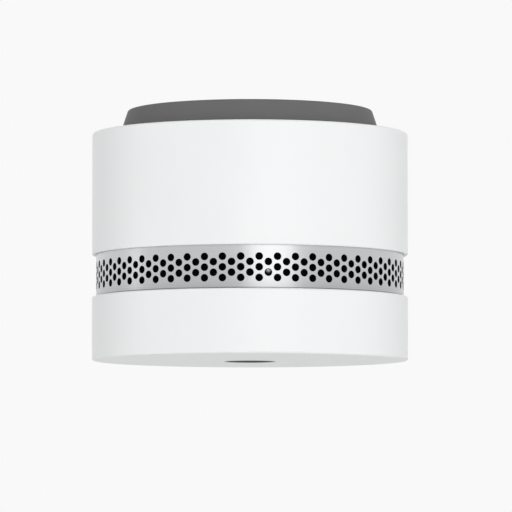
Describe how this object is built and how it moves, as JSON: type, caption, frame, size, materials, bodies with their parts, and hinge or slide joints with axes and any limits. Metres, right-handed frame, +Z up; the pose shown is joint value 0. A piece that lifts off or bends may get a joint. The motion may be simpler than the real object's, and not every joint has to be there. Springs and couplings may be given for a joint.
{
  "type": "smoke detector",
  "caption": "Compact ceiling smoke detector: white drum with a perforated steel band, a dark tapered twist-lock plate and a central test button.",
  "frame": {"origin": "centre of the ceiling face of the mounting plate", "axes": "+Z up into the ceiling, along the axis of the drum; -Y towards the front; the two screw slots lie on the X axis"},
  "size_m": [0.048, 0.048, 0.0382],
  "materials": {
    "shell_plastic": "satin moulded",
    "plate_plastic": "fine grain",
    "button_plastic": "fine grain",
    "inner_plastic": "matt",
    "band_steel": "fine brushed",
    "screen_black": "matt",
    "screw_steel": "bright",
    "contact_metal": "nickel plated",
    "sleeve_film": "gloss",
    "board_laminate": "solder mask",
    "chip_plastic": "matt",
    "capacitor_can": "satin",
    "led_body": "satin",
    "pipe_clear": "clear smoky",
    "sensor_plastic": "dark tinted",
    "piezo_brass": "bright",
    "lead_cover": "satin"
  },
  "bodies": {
    "plate": {"mounting_plate": "plate_plastic"},
    "alarm": {"upper_housing": "shell_plastic", "battery_door": "shell_plastic", "housing_screws": "screw_steel", "perforated_band": "band_steel", "insect_screen": "screen_black", "lower_cap": "shell_plastic", "chassis": "inner_plastic", "battery_cell": "screw_steel", "battery_sleeve": "sleeve_film", "contact_positive": "contact_metal", "contact_negative": "contact_metal", "main_board": "board_laminate", "controller_ic": "chip_plastic", "driver_ic": "chip_plastic", "boost_inductor": "chip_plastic", "capacitors": "capacitor_can", "chip_parts": "chip_plastic", "status_led": "led_body", "light_pipe": "pipe_clear", "switch_body": "chip_plastic", "chamber_base": "inner_plastic", "chamber_cover": "inner_plastic", "ir_emitter": "sensor_plastic", "photodiode": "sensor_plastic", "sounder_cup": "inner_plastic", "piezo_plate": "piezo_brass", "piezo_ceramic": "led_body", "piezo_ring": "inner_plastic", "piezo_leads": "lead_cover", "button_spring": "contact_metal"},
    "button": {"test_button": "button_plastic"},
    "plunger": {"switch_plunger": "chip_plastic"}
  },
  "joints": [
    {"name": "mount_twist", "type": "hinge", "parent": "plate", "child": "alarm", "pos_m": [0, 0, 0], "axis": [0, 0, -1], "range_deg": [0, 30]},
    {"name": "test_button_press", "type": "slide", "parent": "alarm", "child": "button", "axis": [0, 0, 1], "range_m": [0, 0.0005], "stiffness_N_per_m": 2000, "springref_m": -0.0004, "deforming": ["button_spring"]},
    {"name": "switch_plunger_slide", "type": "slide", "parent": "alarm", "child": "plunger", "axis": [0, 0, 1], "range_m": [0, 0.0005]}
  ],
  "couplings": [
    {"joint": "switch_plunger_slide", "follows": "test_button_press", "ratio": 1}
  ]
}
